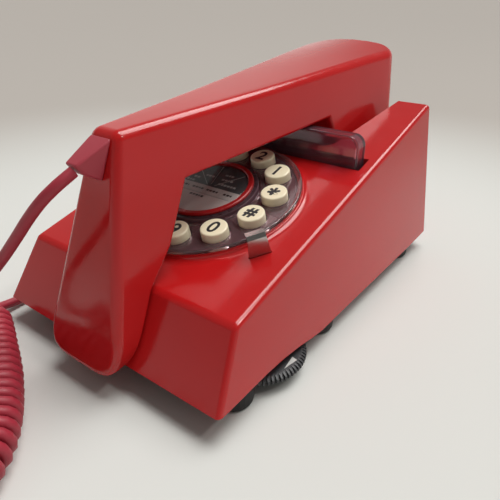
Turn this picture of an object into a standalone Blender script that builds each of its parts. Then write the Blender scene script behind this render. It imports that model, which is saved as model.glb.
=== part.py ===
"""Desk telephone with a one-piece handset lying over a sloping body.

Push buttons stand in a ring that is styled like a rotary dial.  Every sub-part is
one closed solid.  Lengths are typed in millimetres in the body's own frame
(x from the middle plane, y back from the front lower edge, z above the table)
and turned into metres by the frame empties.
"""
import math

import bmesh
import bpy
from mathutils import Matrix, Vector

MM = 0.001
CENTRE = Vector((1.6365, 87.131, 0.0))   # middle of the whole telephone, from the front lower edge

# body: (y, z, half width) of each corner of the side profile
FRONT_WALL = ((0.0, 10.1, 56.3), (14.0, 34.2, 52.0))
BACK_WALL = ((173.8, 8.4, 56.6), (163.3, 76.5, 51.4))
LOWER_EDGE = [(-8, 9.9), (5, 9.9), (26, 10.5), (36, 10.2), (46, 9.2), (54, 7.9), (61, 7.1), (150, 6.9),
              (178, 8.4)]
WALL = 2.6
BODY_ROUND = 1.8
SLOPE = math.atan2(BACK_WALL[1][1] - FRONT_WALL[1][1], BACK_WALL[1][0] - FRONT_WALL[1][0])

# base
PLATE_LOW, PLATE_TOP = 10.8, 13.0
FOOT_RADIUS = 8.0
FOOT_NECK = 6.0
# x, y and height of the shoulder of each pair of feet
FEET = {"front": (46.4, 18.0, 9.2), "middle": (47.3, 71.5, 6.4), "rear": (46.8, 152.5, 6.2)}
SCREW_SPOTS = {"front": (50.0, 31.0), "rear": (50.0, 136.0)}
POSTS = [(34.0, 72.0), (34.0, 128.0)]

# volume wheel
WHEEL_CENTRE = (41.0, 38.6)
WHEEL_RADIUS = 19.4
WHEEL_LOW, WHEEL_TOP = 4.3, 6.9
WHEEL_TEETH = 72

# dial, in the sloping frame of the body's top (u right, v up the slope, h out of it)
DIAL_DISTANCE = 51.0                     # from the front top edge
OPENING_RADIUS = 35.8
PEDESTAL_TOP = 1.1
RING_OUTER, RING_INNER = 37.8, 21.0
RING_LOW, RING_TOP = 1.4, 3.1
HUB_RADIUS, HUB_TOP = 20.4, 4.2
BUTTON_CIRCLE, BUTTON_RADIUS, BUTTON_TOP = 28.5, 5.2, 5.8
BUTTON_FLOOR = -7.6
FIRST_BUTTON = 43.8                      # degrees, place of number 1
BUTTONS = ["1", "2", "3", "4", "5", "6", "7", "8", "9", "0", "hash", "star"]

# finger stop: where its foot stands, which way it faces and the outline of its strip (outwards, up)
STOP_PLACE, STOP_TURN = (39.0, -20.2, 0.0), -38.0
STOP_FOOT, STOP_WIDE, STOP_NARROW = (0.4, 1.1), 4.05, 3.4
STOP_STRIP = [(-3.0, 8.1), (-0.8, 8.1), (-0.4, 7.7), (0.3, 6.8), (1.1, 0.4), (1.1, -4.5), (0.4, -4.5),
              (0.4, 0.4), (-0.4, 6.6), (-1.0, 7.4), (-3.0, 7.4)]

# well for the earpiece, open at the back
WELL_FRONT, WELL_BACK, WELL_FLOOR, WELL_ROUND = 113.8, 186.0, 57.5, 7.0
WELL_HALF, WELL_FLARE = 27.8, 0.18

# cradle plunger
PLUNGER_HALF, PLUNGER_FRONT, PLUNGER_BACK = 45.0, 102.0, 109.4
PLUNGER_LOW, PLUNGER_TOP, PLUNGER_WALL = 50.0, 71.9, 1.7
SLOT_GAP = 0.8

# handset side profile (y, z), starting at the bend and running over the top
HANDSET = [(13.7, 85.5), (183.0, 97.1), (173.5, 60.2), (122.5, 60.2), (118.0, 73.7), (91.0, 71.2),
           (36.0, 66.5), (30.6, 57.0), (24.2, 46.2), (13.4, 34.7), (-1.0, 9.0), (-8.8, 7.4)]
BEND, END_TOP, END_LOW, TIP_BACK, TIP_FRONT = 0, 1, 2, 10, 11
UNDERSIDE = HANDSET[END_LOW:TIP_BACK + 1]
HANDSET_HALF, HANDSET_BACK_FLARE, HANDSET_DROP_FLARE = 6.6, 0.135, 0.213
HANDSET_WALL, COVER_THICK, COVER_GAP, COVER_RECESS = 2.2, 1.9, 0.35, 0.3
HANDSET_ORIGIN = (0, 100, 84)
HANDSET_SCREWS = (50.0, 110.0)
MIC_CENTRE, MIC_LEAN = (3.2, 29.0), 21.0
LEG_FACE = ((13.2, 83.8), (9.4, 70.6))
HANDSET_RIM, UNDER_RIM = 3.0, 1.4
END_ROUND, TIP_ROUND = (13.0, 0.5), (16.0, 0.65)      # radius and squareness of the ends' corners
SWELL, SWELL_DROP, SWELL_START, SWELL_REACH = 4.3, 5.0, 60.0, 130.0
EAR_CENTRE = (0.0, 151.5)

# handset cord
CORD_WIRE, COIL_OUTER = 3.8, 14.0
TAIL_ROUTE = [(0, 1.6, 75.3), (-1, -3.6, 72.4), (-4, -7.8, 68.0), (-9.5, -10.3, 61.4), (-16, -12.6, 53.2),
              (-24, -15.6, 43.4), (-33, -20, 33), (-43, -28, 22.5), (-51, -38.5, 14), (-56, -50, 9.4),
              (-57.6, -58, 8.2)]
COIL_ROUTE = [(-58, -60.5, 7.8), (-55, -76, 7.4), (-42, -90, 7.4), (-22, -96.5, 7.4), (-2, -93, 7.4),
              (11.5, -81, 7.4), (17, -66, 7.4), (14, -52, 7.4), (4, -40.5, 7.4), (-14, -28.8, 7.4),
              (-34, -19.2, 7.4), (-46, -13.8, 7.4), (-55.5, -9.8, 7.2)]
LEAD_ROUTE = [(-57.6, -8.4, 6.6), (-60.6, -4.4, 4.6), (-62.2, 4, 2.9), (-62.8, 16, 2.1), (-63.6, 32, 2.0),
              (-65.4, 52, 2.0), (-67.6, 70, 2.6), (-69.8, 84, 6.2), (-71.0, 95, 12), (-70.2, 103.5, 17),
              (-66.5, 109.3, 18.6), (-61.8, 111, 18.8), (-58.0, 111, 18.8)]
SOCKET_LEFT = (111.0, 18.8)              # y and z of the handset cord's socket
SOCKET_LINE = (25.0, 19.0)               # x and z of the exchange line's socket


# ------------------------------------------------------------------ small geometry helpers
def wall_at(wall, z):
    """y and half width of the front or back wall at height z."""
    (y0, z0, w0), (y1, z1, w1) = wall
    k = (z - z0) / (z1 - z0)
    return y0 + k * (y1 - y0), w0 + k * (w1 - w0)


def offset_edges(points, distances):
    """A clockwise outline (seen with +z up) with each edge moved inwards by its own distance."""
    lines = []
    for i, distance in enumerate(distances):
        start, stop = Vector(points[i]), Vector(points[(i + 1) % len(points)])
        run = (stop - start).normalized()
        lines.append((start + Vector((run.y, -run.x)) * distance, run))
    corners = []
    for (p, run), (q, other) in zip([lines[-1]] + lines[:-1], lines):
        reach = (q - p).cross(other) / run.cross(other)
        corners.append(tuple(p + run * reach))
    return corners


def arc(centre, radius, start, end, steps):
    """Points on an arc, angles in degrees."""
    angles = [math.radians(start + (end - start) * i / steps) for i in range(steps + 1)]
    return [(centre[0] + radius * math.cos(a), centre[1] + radius * math.sin(a)) for a in angles]


def loft(rings, caps=True, closed=False):
    """A mesh through rings of equally many points."""
    mesh = bmesh.new()
    rows = [[mesh.verts.new(Vector(p) * MM) for p in ring] for ring in rings]
    count = len(rows[0])
    pairs = list(zip(rows, rows[1:]))
    if closed:
        pairs.append((rows[-1], rows[0]))
    for low, high in pairs:
        for i in range(count):
            j = (i + 1) % count
            mesh.faces.new((low[i], low[j], high[j], high[i]))
    if caps and not closed:
        mesh.faces.new(rows[0][::-1])
        mesh.faces.new(rows[-1])
    bmesh.ops.recalc_face_normals(mesh, faces=mesh.faces)
    return mesh


def lathe(profile, segments=40, closed=False):
    """Points (radius, height) turned about Z; an open profile gets flat ends."""
    rings = []
    for radius, height in profile:
        rings.append([(radius * math.cos(math.tau * i / segments),
                       radius * math.sin(math.tau * i / segments), height) for i in range(segments)])
    return loft(rings, closed=closed)


def prism(outline, low, high, along="z"):
    """An outline pushed along one axis.  along="x" takes (y, z) points."""
    def place(point, level):
        a, b = point
        return (a, b, level) if along == "z" else (level, a, b)
    return loft([[place(p, low) for p in outline], [place(p, high) for p in outline]])


def box(x, y, z):
    """A box from three (low, high) pairs."""
    outline = [(x[0], y[0]), (x[1], y[0]), (x[1], y[1]), (x[0], y[1])]
    return prism(outline, z[0], z[1])


def cylinder(radius, low, high, segments=24):
    return lathe([(radius, low), (radius, high)], segments)


def moved(mesh, offset, turn=None):
    """The mesh turned and then moved by an offset in millimetres."""
    if turn is not None:
        bmesh.ops.transform(mesh, matrix=turn, verts=mesh.verts)
    bmesh.ops.translate(mesh, vec=Vector(offset) * MM, verts=mesh.verts)
    return mesh


def joined(*meshes):
    """Several separate solids in one mesh, for cutters."""
    total = bmesh.new()
    for mesh in meshes:
        scratch = bpy.data.meshes.new("scratch")
        mesh.to_mesh(scratch)
        total.from_mesh(scratch)
        bpy.data.meshes.remove(scratch)
        mesh.free()
    return total


def rounded(mesh, edges, radius, segments):
    bmesh.ops.bevel(mesh, geom=list(edges), offset=radius * MM, offset_type="OFFSET", segments=segments,
                    profile=0.5, affect="EDGES", clamp_overlap=True)
    bmesh.ops.remove_doubles(mesh, verts=mesh.verts, dist=1e-6)
    bmesh.ops.recalc_face_normals(mesh, faces=mesh.faces)
    return mesh


def sharp_edges(mesh, direction, cosine=0.9):
    """Edges that run along a direction."""
    axis = Vector(direction).normalized()
    found = []
    for edge in mesh.edges:
        run = (edge.verts[1].co - edge.verts[0].co).normalized()
        if abs(run.dot(axis)) > cosine:
            found.append(edge)
    return found


def smooth_route(points, step=4.0):
    """Evenly dense points on a Catmull-Rom curve through the route."""
    route = [Vector(p) for p in points]
    route = [route[0] * 2 - route[1]] + route + [route[-1] * 2 - route[-2]]
    dense = []
    for a, b, c, d in zip(route, route[1:], route[2:], route[3:]):
        pieces = max(1, round((c - b).length / step))
        for i in range(pieces):
            t = i / pieces
            dense.append(0.5 * (2 * b + (c - a) * t + (2 * a - 5 * b + 4 * c - d) * t ** 2
                                + (3 * b - 3 * c + d - a) * t ** 3))
    dense.append(route[-2])
    return dense


# ------------------------------------------------------------------ scene helpers
def material(name, colour, roughness, metallic=0.0, transmission=0.0):
    made = bpy.data.materials.new(name)
    made.use_nodes = True
    shader = made.node_tree.nodes["Principled BSDF"]
    shader.inputs["Base Color"].default_value = (*colour, 1.0)
    shader.inputs["Roughness"].default_value = roughness
    shader.inputs["Metallic"].default_value = metallic
    shader.inputs["Transmission Weight"].default_value = transmission
    made.diffuse_color = (*colour, 1.0)
    return made


def empty(name, parent=None, location=(0, 0, 0), tilt=0.0):
    made = bpy.data.objects.new(name, None)
    bpy.context.scene.collection.objects.link(made)
    made.parent = parent
    made.location = Vector(location) * MM
    made.rotation_euler = (tilt, 0.0, 0.0)
    return made


def solid(name, mesh, finish, parent, origin=(0, 0, 0)):
    """A node.  The mesh is typed in its parent's frame and its origin is put at a point there."""
    bmesh.ops.translate(mesh, vec=-Vector(origin) * MM, verts=mesh.verts)
    data = bpy.data.meshes.new(name)
    mesh.to_mesh(data)
    mesh.free()
    data.shade_smooth()
    data.set_sharp_from_angle(angle=math.radians(38))
    data.materials.append(finish)
    made = bpy.data.objects.new(name, data)
    bpy.context.scene.collection.objects.link(made)
    made.parent = parent
    made.location = Vector(origin) * MM
    return made


def cutter(name, mesh, parent, origin=(0, 0, 0)):
    made = solid(name, mesh, TOOL, parent, origin)
    made.hide_render = True
    made.display_type = "WIRE"
    return made


def boolean(target, tool, operation="DIFFERENCE"):
    step = target.modifiers.new(tool.name, "BOOLEAN")
    step.object = tool
    step.operation = operation
    step.solver = "EXACT"


# ------------------------------------------------------------------ shapes used more than once
def case_block(inset, floor, radius, segments):
    """The body's tapered block, moved inwards by inset, down to a floor height."""
    front, back = wall_at(FRONT_WALL, floor)[0], wall_at(BACK_WALL, floor)[0]
    profile = [(front, floor), FRONT_WALL[1][:2], BACK_WALL[1][:2], (back, floor)]
    profile = offset_edges(profile, (inset, inset, inset, 0.0))
    walls = (FRONT_WALL, FRONT_WALL, BACK_WALL, BACK_WALL)
    sides = []
    for sign in (1, -1):
        sides.append([(sign * (wall_at(wall, z)[1] - inset), y, z) for (y, z), wall in zip(profile, walls)])
    mesh = loft(sides)
    edges = [e for e in mesh.edges if not all(abs(v.co.z - floor * MM) < 1e-6 for v in e.verts)]
    return rounded(mesh, edges, radius, segments)


def well_block(outset, floor, top):
    """The earpiece well as a solid, grown outwards by outset."""
    front, back = WELL_FRONT - outset, WELL_BACK
    half = WELL_HALF + outset
    far = half + WELL_FLARE * (back - front)
    radius = WELL_ROUND + outset
    corner = (half - radius, front + radius)
    right = [(corner[0], front)] + arc(corner, radius, -75, -5, 5) + [(far, back)]
    left = [(-x, y) for x, y in reversed(right)]
    return prism(right + left, floor, top)


def handset_half(y, z):
    return HANDSET_HALF + HANDSET_BACK_FLARE * (y - 13.0) - HANDSET_DROP_FLARE * (z - 83.5)


def swollen(mesh):
    """The handset's roof rises towards the earpiece, most along its middle line."""
    planes = [((share * handset_half(13.0, 83.5), 13.0, 83.5),
               (1.0, -share * HANDSET_BACK_FLARE, share * HANDSET_DROP_FLARE)) for share in (-0.6, 0.0, 0.6)]
    planes += [((0, y, 0), (0, 1, 0)) for y in (90, 115, 140, 160)]
    for place, normal in planes:
        everything = mesh.verts[:] + mesh.edges[:] + mesh.faces[:]
        bmesh.ops.bisect_plane(mesh, geom=everything, dist=1e-7, plane_co=Vector(place) * MM, plane_no=normal)
    for v in mesh.verts:
        x, y, z = v.co / MM
        along = min(1.0, max(0.0, (y - SWELL_START) / SWELL_REACH)) ** 2
        height = min(1.0, max(0.0, (z - 70.0) / 20.0))
        rise = along * height * (SWELL - SWELL_DROP * (x / 30.0) ** 2)
        v.co.z += rise * MM
        v.co.x *= handset_half(y, z + rise) / handset_half(y, z)
    return mesh


def handset_block(profile, inset, corners, rims=()):
    """A solid between the handset's splayed sides.  corners: (first point, second point, round).

    The faces of the profile carry the tag 0 (top and front), 2 (underside) or 1 (sides and ends), and
    rims holds the radius of the edge between the sides and the faces of tag 0, then of tag 2.
    """
    mesh = bmesh.new()
    rows = []
    for sign in (1, -1):
        points = [Vector((sign * (handset_half(y, z) - inset), y, z)) for y, z in profile]
        rows.append([mesh.verts.new(point * MM) for point in points])
    count = len(profile)
    for i in range(count):
        j = (i + 1) % count
        face = mesh.faces.new((rows[0][i], rows[0][j], rows[1][j], rows[1][i]))
        face.material_index = 2 if END_LOW <= i < TIP_BACK else 0
    for row in rows:
        mesh.faces.new(row).material_index = 1
    for low, high, _ in corners:
        for face in mesh.faces:
            if set(face.verts) == {rows[0][low], rows[0][high], rows[1][low], rows[1][high]}:
                face.material_index = 1
    bmesh.ops.recalc_face_normals(mesh, faces=mesh.faces)
    for low, high, (radius, squareness) in corners:
        edges = [e for e in mesh.edges for row in rows if set(e.verts) == {row[low], row[high]}]
        bmesh.ops.bevel(mesh, geom=edges, offset=radius * MM, offset_type="OFFSET", segments=6,
                        profile=squareness, affect="EDGES", material=1)
    for rim, tag in zip(rims, (0, 2)):
        bend = Vector(profile[BEND]) * MM
        edges = []
        for e in mesh.edges:
            at_bend = tag == 0 and all((v.co.yz - bend).length < 1e-6 for v in e.verts)
            if at_bend or {f.material_index for f in e.link_faces} == {tag, 1}:
                edges.append(e)
        bmesh.ops.bevel(mesh, geom=edges, offset=rim * MM, offset_type="OFFSET", segments=3,
                        profile=0.5, affect="EDGES", material=1)
    for face in mesh.faces:
        face.material_index = 0
    bmesh.ops.remove_doubles(mesh, verts=mesh.verts, dist=1e-6)
    bmesh.ops.recalc_face_normals(mesh, faces=mesh.faces)
    return mesh


def stop_half(height):
    """Half width of the finger stop at a height above the body's top."""
    return STOP_WIDE + (STOP_NARROW - STOP_WIDE) * min(1.0, max(0.0, height / 6.8))


def screw(low, head, head_radius=2.7, shank_radius=1.3, head_height=1.8):
    """A screw standing on its head: head low, shank up."""
    return lathe([(head_radius, low), (head_radius, low + head_height),
                  (shank_radius, low + head_height), (shank_radius, head)], 16)


# ------------------------------------------------------------------ start
for thing in list(bpy.data.objects):
    bpy.data.objects.remove(thing, do_unlink=True)

RED = material("red_gloss", (0.48, 0.012, 0.014), 0.16)
BLACK = material("black_plastic", (0.02, 0.02, 0.022), 0.45)
RUBBER = material("black_rubber", (0.015, 0.015, 0.015), 0.8)
STEEL = material("bright_steel", (0.62, 0.62, 0.62), 0.25, metallic=1.0)
MIRROR = material("polished_steel", (0.75, 0.75, 0.75), 0.06, metallic=1.0)
SMOKY = material("smoky_clear", (0.22, 0.12, 0.16), 0.08, transmission=0.8)
CLEAR = material("clear", (0.9, 0.9, 0.9), 0.05, transmission=0.95)
IVORY = material("ivory", (0.72, 0.66, 0.52), 0.3)
PAPER = material("label_card", (0.42, 0.40, 0.38), 0.6)
BOARD = material("circuit_board", (0.05, 0.22, 0.10), 0.5)
SILICONE = material("grey_silicone", (0.25, 0.25, 0.26), 0.7)
PINK = material("matte_red", (0.42, 0.06, 0.09), 0.6)
TOOL = material("cutter", (0.5, 0.5, 0.5), 0.5)

BODY = empty("body_frame", location=-CENTRE)
DIAL_Y = FRONT_WALL[1][0] + DIAL_DISTANCE * math.cos(SLOPE)
DIAL_Z = FRONT_WALL[1][1] + DIAL_DISTANCE * math.sin(SLOPE)
DIAL = empty("dial_frame", BODY, (0, DIAL_Y, DIAL_Z), SLOPE)

# ------------------------------------------------------------------ case
case = solid("case_shell", case_block(0.0, 2.0, BODY_ROUND, 4), RED, BODY)
trim = [(-20, -5), (-20, 9.9)] + LOWER_EDGE + [(190, 8.4), (190, -5)]
boolean(case, cutter("cut_lower_edge", prism(trim, -70, 70, "x"), BODY))
hollow = cutter("cut_hollow", case_block(WALL, -2.0, 1.8, 1), BODY)
boolean(hollow, cutter("keep_well", well_block(2.5, WELL_FLOOR - 2.5, 96.0), BODY))
boolean(case, hollow)
boolean(case, cutter("cut_well", well_block(0.0, WELL_FLOOR, 98.0), BODY))
pedestal = [(OPENING_RADIUS, -2.2), (OPENING_RADIUS, PEDESTAL_TOP), (38.3, PEDESTAL_TOP), (38.7, 0.8),
            (39.3, 0.5), (40.0, 0.15), (41.0, 0.0), (41.0, -1.2), (39.0, -2.2)]
boolean(case, cutter("add_pedestal", lathe(pedestal, 64, closed=True), DIAL), "UNION")
boolean(case, cutter("cut_dial", cylinder(OPENING_RADIUS, -6, 6, 64), DIAL))
boolean(case, cutter("cut_slot", box((-PLUNGER_HALF - 1.6, PLUNGER_HALF + 1.6),
                                     (PLUNGER_FRONT - SLOT_GAP, PLUNGER_BACK + SLOT_GAP), (46, 90)), BODY))
bosses = []
for x, y in SCREW_SPOTS.values():
    for sign in (1, -1):
        bosses.append(moved(lathe([(3.6, PLATE_TOP + 0.3), (3.6, 27.0), (1.6, 27.0), (1.6, PLATE_TOP + 0.3)],
                                  16, closed=True), (sign * x, y, 0)))
boolean(case, cutter("add_bosses", joined(*bosses), BODY), "UNION")
y, z = SOCKET_LEFT
boolean(case, cutter("cut_cord_socket", box((-64, -50), (y - 7, y + 7), (z - 5.4, z + 5.4)), BODY))
x, z = SOCKET_LINE
boolean(case, cutter("cut_line_socket", box((x - 7, x + 7), (164, 180), (z - 5.4, z + 5.4)), BODY))

# ------------------------------------------------------------------ base
plate_mesh = box((-52.6, 52.6), (5.6, 169.4), (PLATE_LOW, PLATE_TOP))
rounded(plate_mesh, sharp_edges(plate_mesh, (0, 0, 1)), 3.0, 3)
plate = solid("base_plate", plate_mesh, BLACK, BODY)
posts = [moved(cylinder(3.0, PLATE_LOW + 0.5, 20.0, 16), (s * x, y, 0)) for x, y in POSTS for s in (1, -1)]
boolean(plate, cutter("add_posts", joined(*posts), BODY), "UNION")
holes = [moved(cylinder(1.7, 5, 18, 16), (s * x, y, 0)) for x, y in SCREW_SPOTS.values() for s in (1, -1)]
holes.append(moved(cylinder(4.0, 5, 18, 20), (*WHEEL_CENTRE, 0)))
boolean(plate, cutter("cut_plate_holes", joined(*holes), BODY))

wheel_space = moved(cylinder(WHEEL_RADIUS + 0.9, -2, 9, 48), (*WHEEL_CENTRE, 0))
wheel_room = cutter("cut_wheel_room", wheel_space, BODY)
for place, (x, y, shoulder) in FEET.items():
    foot_profile = [(FOOT_RADIUS - 1.2, 0.0), (FOOT_RADIUS - 0.2, 0.9), (FOOT_RADIUS, 2.0),
                    (FOOT_RADIUS, shoulder), (FOOT_NECK, shoulder), (FOOT_NECK, PLATE_LOW - 0.3)]
    for side, sign in (("right", 1), ("left", -1)):
        foot = solid(f"foot_{place}_{side}", moved(lathe(foot_profile, 24), (sign * x, y, 0)), RUBBER, BODY)
        if (place, side) == ("front", "right"):
            boolean(foot, wheel_room)
for place, (x, y) in SCREW_SPOTS.items():
    for side, sign in (("right", 1), ("left", -1)):
        pin = moved(screw(PLATE_LOW - 2.1, 24.0), (sign * x, y, 0))
        solid(f"base_screw_{place}_{side}", pin, STEEL, BODY)

# ------------------------------------------------------------------ volume wheel
tooth = []
for i in range(WHEEL_TEETH * 2):
    a = math.tau * i / (WHEEL_TEETH * 2)
    r = WHEEL_RADIUS if i % 2 else WHEEL_RADIUS - 0.7
    tooth.append((WHEEL_CENTRE[0] + r * math.cos(a), WHEEL_CENTRE[1] + r * math.sin(a)))
wheel = solid("volume_wheel", prism(tooth, WHEEL_LOW, WHEEL_TOP), BLACK, BODY, (*WHEEL_CENTRE, 0))
axle = moved(cylinder(3.0, WHEEL_LOW + 1, 18.0, 20), (*WHEEL_CENTRE, 0))
boolean(wheel, cutter("add_axle", axle, BODY), "UNION")
pot = lathe([(3.08, PLATE_TOP + 0.3), (7.6, PLATE_TOP + 0.3), (7.6, 20.5), (3.08, 20.5)], 24, closed=True)
solid("volume_control", moved(pot, (*WHEEL_CENTRE, 0)), STEEL, BODY)

# ------------------------------------------------------------------ electronics in the body
solid("main_board", box((-40, 40), (66, 134), (20.3, 21.9)), BOARD, BODY)
sounder = lathe([(16, PLATE_TOP + 0.3), (17, PLATE_TOP + 1.5), (17, 24), (14, 25.5)], 32)
solid("sounder", moved(sounder, (-22, 34, 0)), BLACK, BODY)
solid("ballast_weight", box((-30, 12), (140, 158), (PLATE_TOP + 0.3, 19)), STEEL, BODY)

y, z = SOCKET_LEFT
cord_socket = solid("cord_socket", box((-55.0, -43.0), (y - 6.6, y + 6.6), (z - 5.0, z + 5.0)), BLACK, BODY)
boolean(cord_socket, cutter("cut_cord_jack", box((-60, -46), (y - 4.2, y + 4.2), (z - 3.4, z + 3.4)), BODY))
x, z = SOCKET_LINE
line_socket = solid("line_socket", box((x - 6.6, x + 6.6), (160.5, 171.4), (z - 5.0, z + 5.0)), BLACK, BODY)
boolean(line_socket, cutter("cut_line_jack", box((x - 4.4, x + 4.4), (163, 179), (z - 3.6, z + 3.6)), BODY))

# ------------------------------------------------------------------ dial
button_spots = {}
for i, label in enumerate(BUTTONS):
    a = math.radians(FIRST_BUTTON + 30 * i)
    button_spots[label] = (BUTTON_CIRCLE * math.cos(a), BUTTON_CIRCLE * math.sin(a))
base_holes = [moved(cylinder(BUTTON_RADIUS + 0.4, -12, 8, 28), (u, v, 0)) for u, v in button_spots.values()]
ring_holes = [moved(cylinder(BUTTON_RADIUS + 0.6, -12, 8, 28), (u, v, 0)) for u, v in button_spots.values()]

hub = [(35.3, -5.9), (35.3, 0.9), (HUB_RADIUS, 0.9), (HUB_RADIUS, HUB_TOP - 0.4), (HUB_RADIUS - 0.4, HUB_TOP)]
dial_base = solid("dial_base", lathe(hub, 56), BLACK, DIAL)
boolean(dial_base, cutter("cut_base_holes", joined(*base_holes), DIAL))

outer = RING_OUTER
lip = [(RING_INNER, RING_LOW), (outer - 0.5, RING_LOW), (outer, RING_LOW + 0.4), (outer, RING_TOP - 0.8)]
lip += [(outer - 0.3, RING_TOP - 0.25), (outer - 1.0, RING_TOP), (RING_INNER, RING_TOP)]
ring = solid("dial_ring", lathe(lip, 64, closed=True), SMOKY, DIAL)
boolean(ring, cutter("cut_ring_holes", joined(*ring_holes), DIAL))

key = [(6.3, BUTTON_FLOOR), (6.3, -6.4), (BUTTON_RADIUS, -6.4), (BUTTON_RADIUS, BUTTON_TOP - 0.5),
       (BUTTON_RADIUS - 0.2, BUTTON_TOP - 0.15), (BUTTON_RADIUS - 0.6, BUTTON_TOP)]
for label, (u, v) in button_spots.items():
    solid(f"button_{label}", moved(lathe(key, 24), (u, v, 0)), IVORY, DIAL, (u, v, 0))

solid("key_membrane", cylinder(35.0, -11.0, -9.6, 40), SILICONE, DIAL)
solid("key_board", cylinder(35.0, -13.0, -11.4, 40), BOARD, DIAL)
solid("label_disc", cylinder(16.2, HUB_TOP + 0.2, HUB_TOP + 0.5, 48), PAPER, DIAL)
lens = lathe([(16.2, HUB_TOP + 0.7), (16.2, HUB_TOP + 1.0), (15.6, HUB_TOP + 1.3)], 48)
solid("label_lens", lens, CLEAR, DIAL)
trim_ring = [(16.5, HUB_TOP + 0.2), (18.7, HUB_TOP + 0.2), (18.7, HUB_TOP + 0.8), (18.2, HUB_TOP + 1.3),
             (16.5, HUB_TOP + 1.3)]
solid("label_ring", lathe(trim_ring, 56, closed=True), RED, DIAL)

# finger stop: a bright strip that stands outside the ring and bends in towards its lip
stop_turn = Matrix.Rotation(math.radians(STOP_TURN), 4, "Z")
stop_mesh = loft([[(s, sign * stop_half(h), h) for s, h in STOP_STRIP] for sign in (-1, 1)])
solid("finger_stop", moved(stop_mesh, STOP_PLACE, stop_turn), MIRROR, DIAL)
stop_slot = box((STOP_FOOT[0] - 0.4, STOP_FOOT[1] + 0.4), (-STOP_WIDE - 0.4, STOP_WIDE + 0.4), (-6, 3))
boolean(case, cutter("cut_stop_slot", moved(stop_slot, STOP_PLACE, stop_turn), DIAL))

# ------------------------------------------------------------------ cradle plunger
plunger_mesh = box((-PLUNGER_HALF, PLUNGER_HALF), (PLUNGER_FRONT, PLUNGER_BACK), (PLUNGER_LOW, PLUNGER_TOP))
corners = [e for e in sharp_edges(plunger_mesh, (0, 1, 0)) if e.verts[0].co.z > 0.06]
rounded(plunger_mesh, corners, 4.6, 5)
rims = [e for e in plunger_mesh.edges if all(v.co.z > 0.0501 for v in e.verts)
        and abs(e.verts[0].co.y - e.verts[1].co.y) < 1e-6]
rounded(plunger_mesh, rims, 0.8, 2)
plunger_origin = (0, (PLUNGER_FRONT + PLUNGER_BACK) / 2, PLUNGER_LOW)
plunger = solid("cradle_plunger", plunger_mesh, SMOKY, BODY, plunger_origin)
inner_mesh = box((-PLUNGER_HALF + PLUNGER_WALL, PLUNGER_HALF - PLUNGER_WALL),
                 (PLUNGER_FRONT + PLUNGER_WALL, PLUNGER_BACK - PLUNGER_WALL),
                 (PLUNGER_LOW - 5, PLUNGER_TOP - PLUNGER_WALL))
corners = [e for e in sharp_edges(inner_mesh, (0, 1, 0)) if e.verts[0].co.z > 0.06]
rounded(inner_mesh, corners, 3.0, 4)
boolean(plunger, cutter("cut_plunger", inner_mesh, BODY))
solid("hook_switch", box((-6, 6), (103.5, 108), (22.2, 30)), BLACK, BODY)
stem_mesh = box((-2.5, 2.5), (104.4, 107.0), (33.0, PLUNGER_TOP - PLUNGER_WALL - 0.3))
solid("plunger_stem", stem_mesh, BLACK, BODY, plunger_origin)

# ------------------------------------------------------------------ handset
def handset_edges(top, back, under, tip, front):
    """The handset profile with each of its edges moved in by the distance of its kind."""
    return offset_edges(HANDSET, [top, back] + [under] * (len(UNDERSIDE) - 1) + [tip, front])


def underside_height(y):
    """Height of the handset's underside at a distance from the front."""
    for (y1, z1), (y0, z0) in zip(UNDERSIDE, UNDERSIDE[1:]):
        if y0 <= y <= y1:
            return z0 + (z1 - z0) * (y - y0) / (y1 - y0)
    raise ValueError(y)


def roof_height(y):
    """Height of the handset's straight top line at a distance from the front."""
    (y0, z0), (y1, z1) = HANDSET[BEND], HANDSET[END_TOP]
    return z0 + (z1 - z0) * (y - y0) / (y1 - y0)


ends = [(END_TOP, END_LOW, END_ROUND), (TIP_BACK, TIP_FRONT, TIP_ROUND)]
outside = handset_block(HANDSET, 0.0, ends, (HANDSET_RIM, UNDER_RIM))
shell = solid("handset_shell", swollen(outside), RED, BODY, HANDSET_ORIGIN)
wall = HANDSET_WALL
inner_ends = [(low, high, (radius - wall, squareness)) for low, high, (radius, squareness) in ends]
cavity = handset_block(handset_edges(wall, wall, -1.5, wall, wall), wall + 0.2, inner_ends)
boolean(shell, cutter("cut_handset", swollen(cavity), BODY))

inset = wall + COVER_GAP
outer_chain = handset_edges(wall, inset, COVER_RECESS, inset, wall)[END_LOW:TIP_BACK + 1]
inner_chain = handset_edges(wall, inset, COVER_RECESS + COVER_THICK, inset, wall)[END_LOW:TIP_BACK + 1]
band = inner_chain[::-1] + outer_chain
turn = len(inner_chain)
cover_ends = [(turn - 1, turn, (END_ROUND[0] - inset, END_ROUND[1])),
              (len(band) - 1, 0, (TIP_ROUND[0] - inset, TIP_ROUND[1]))]
cover = solid("handset_cover", handset_block(band, inset + 0.2, cover_ends), RED, BODY, HANDSET_ORIGIN)

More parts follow.
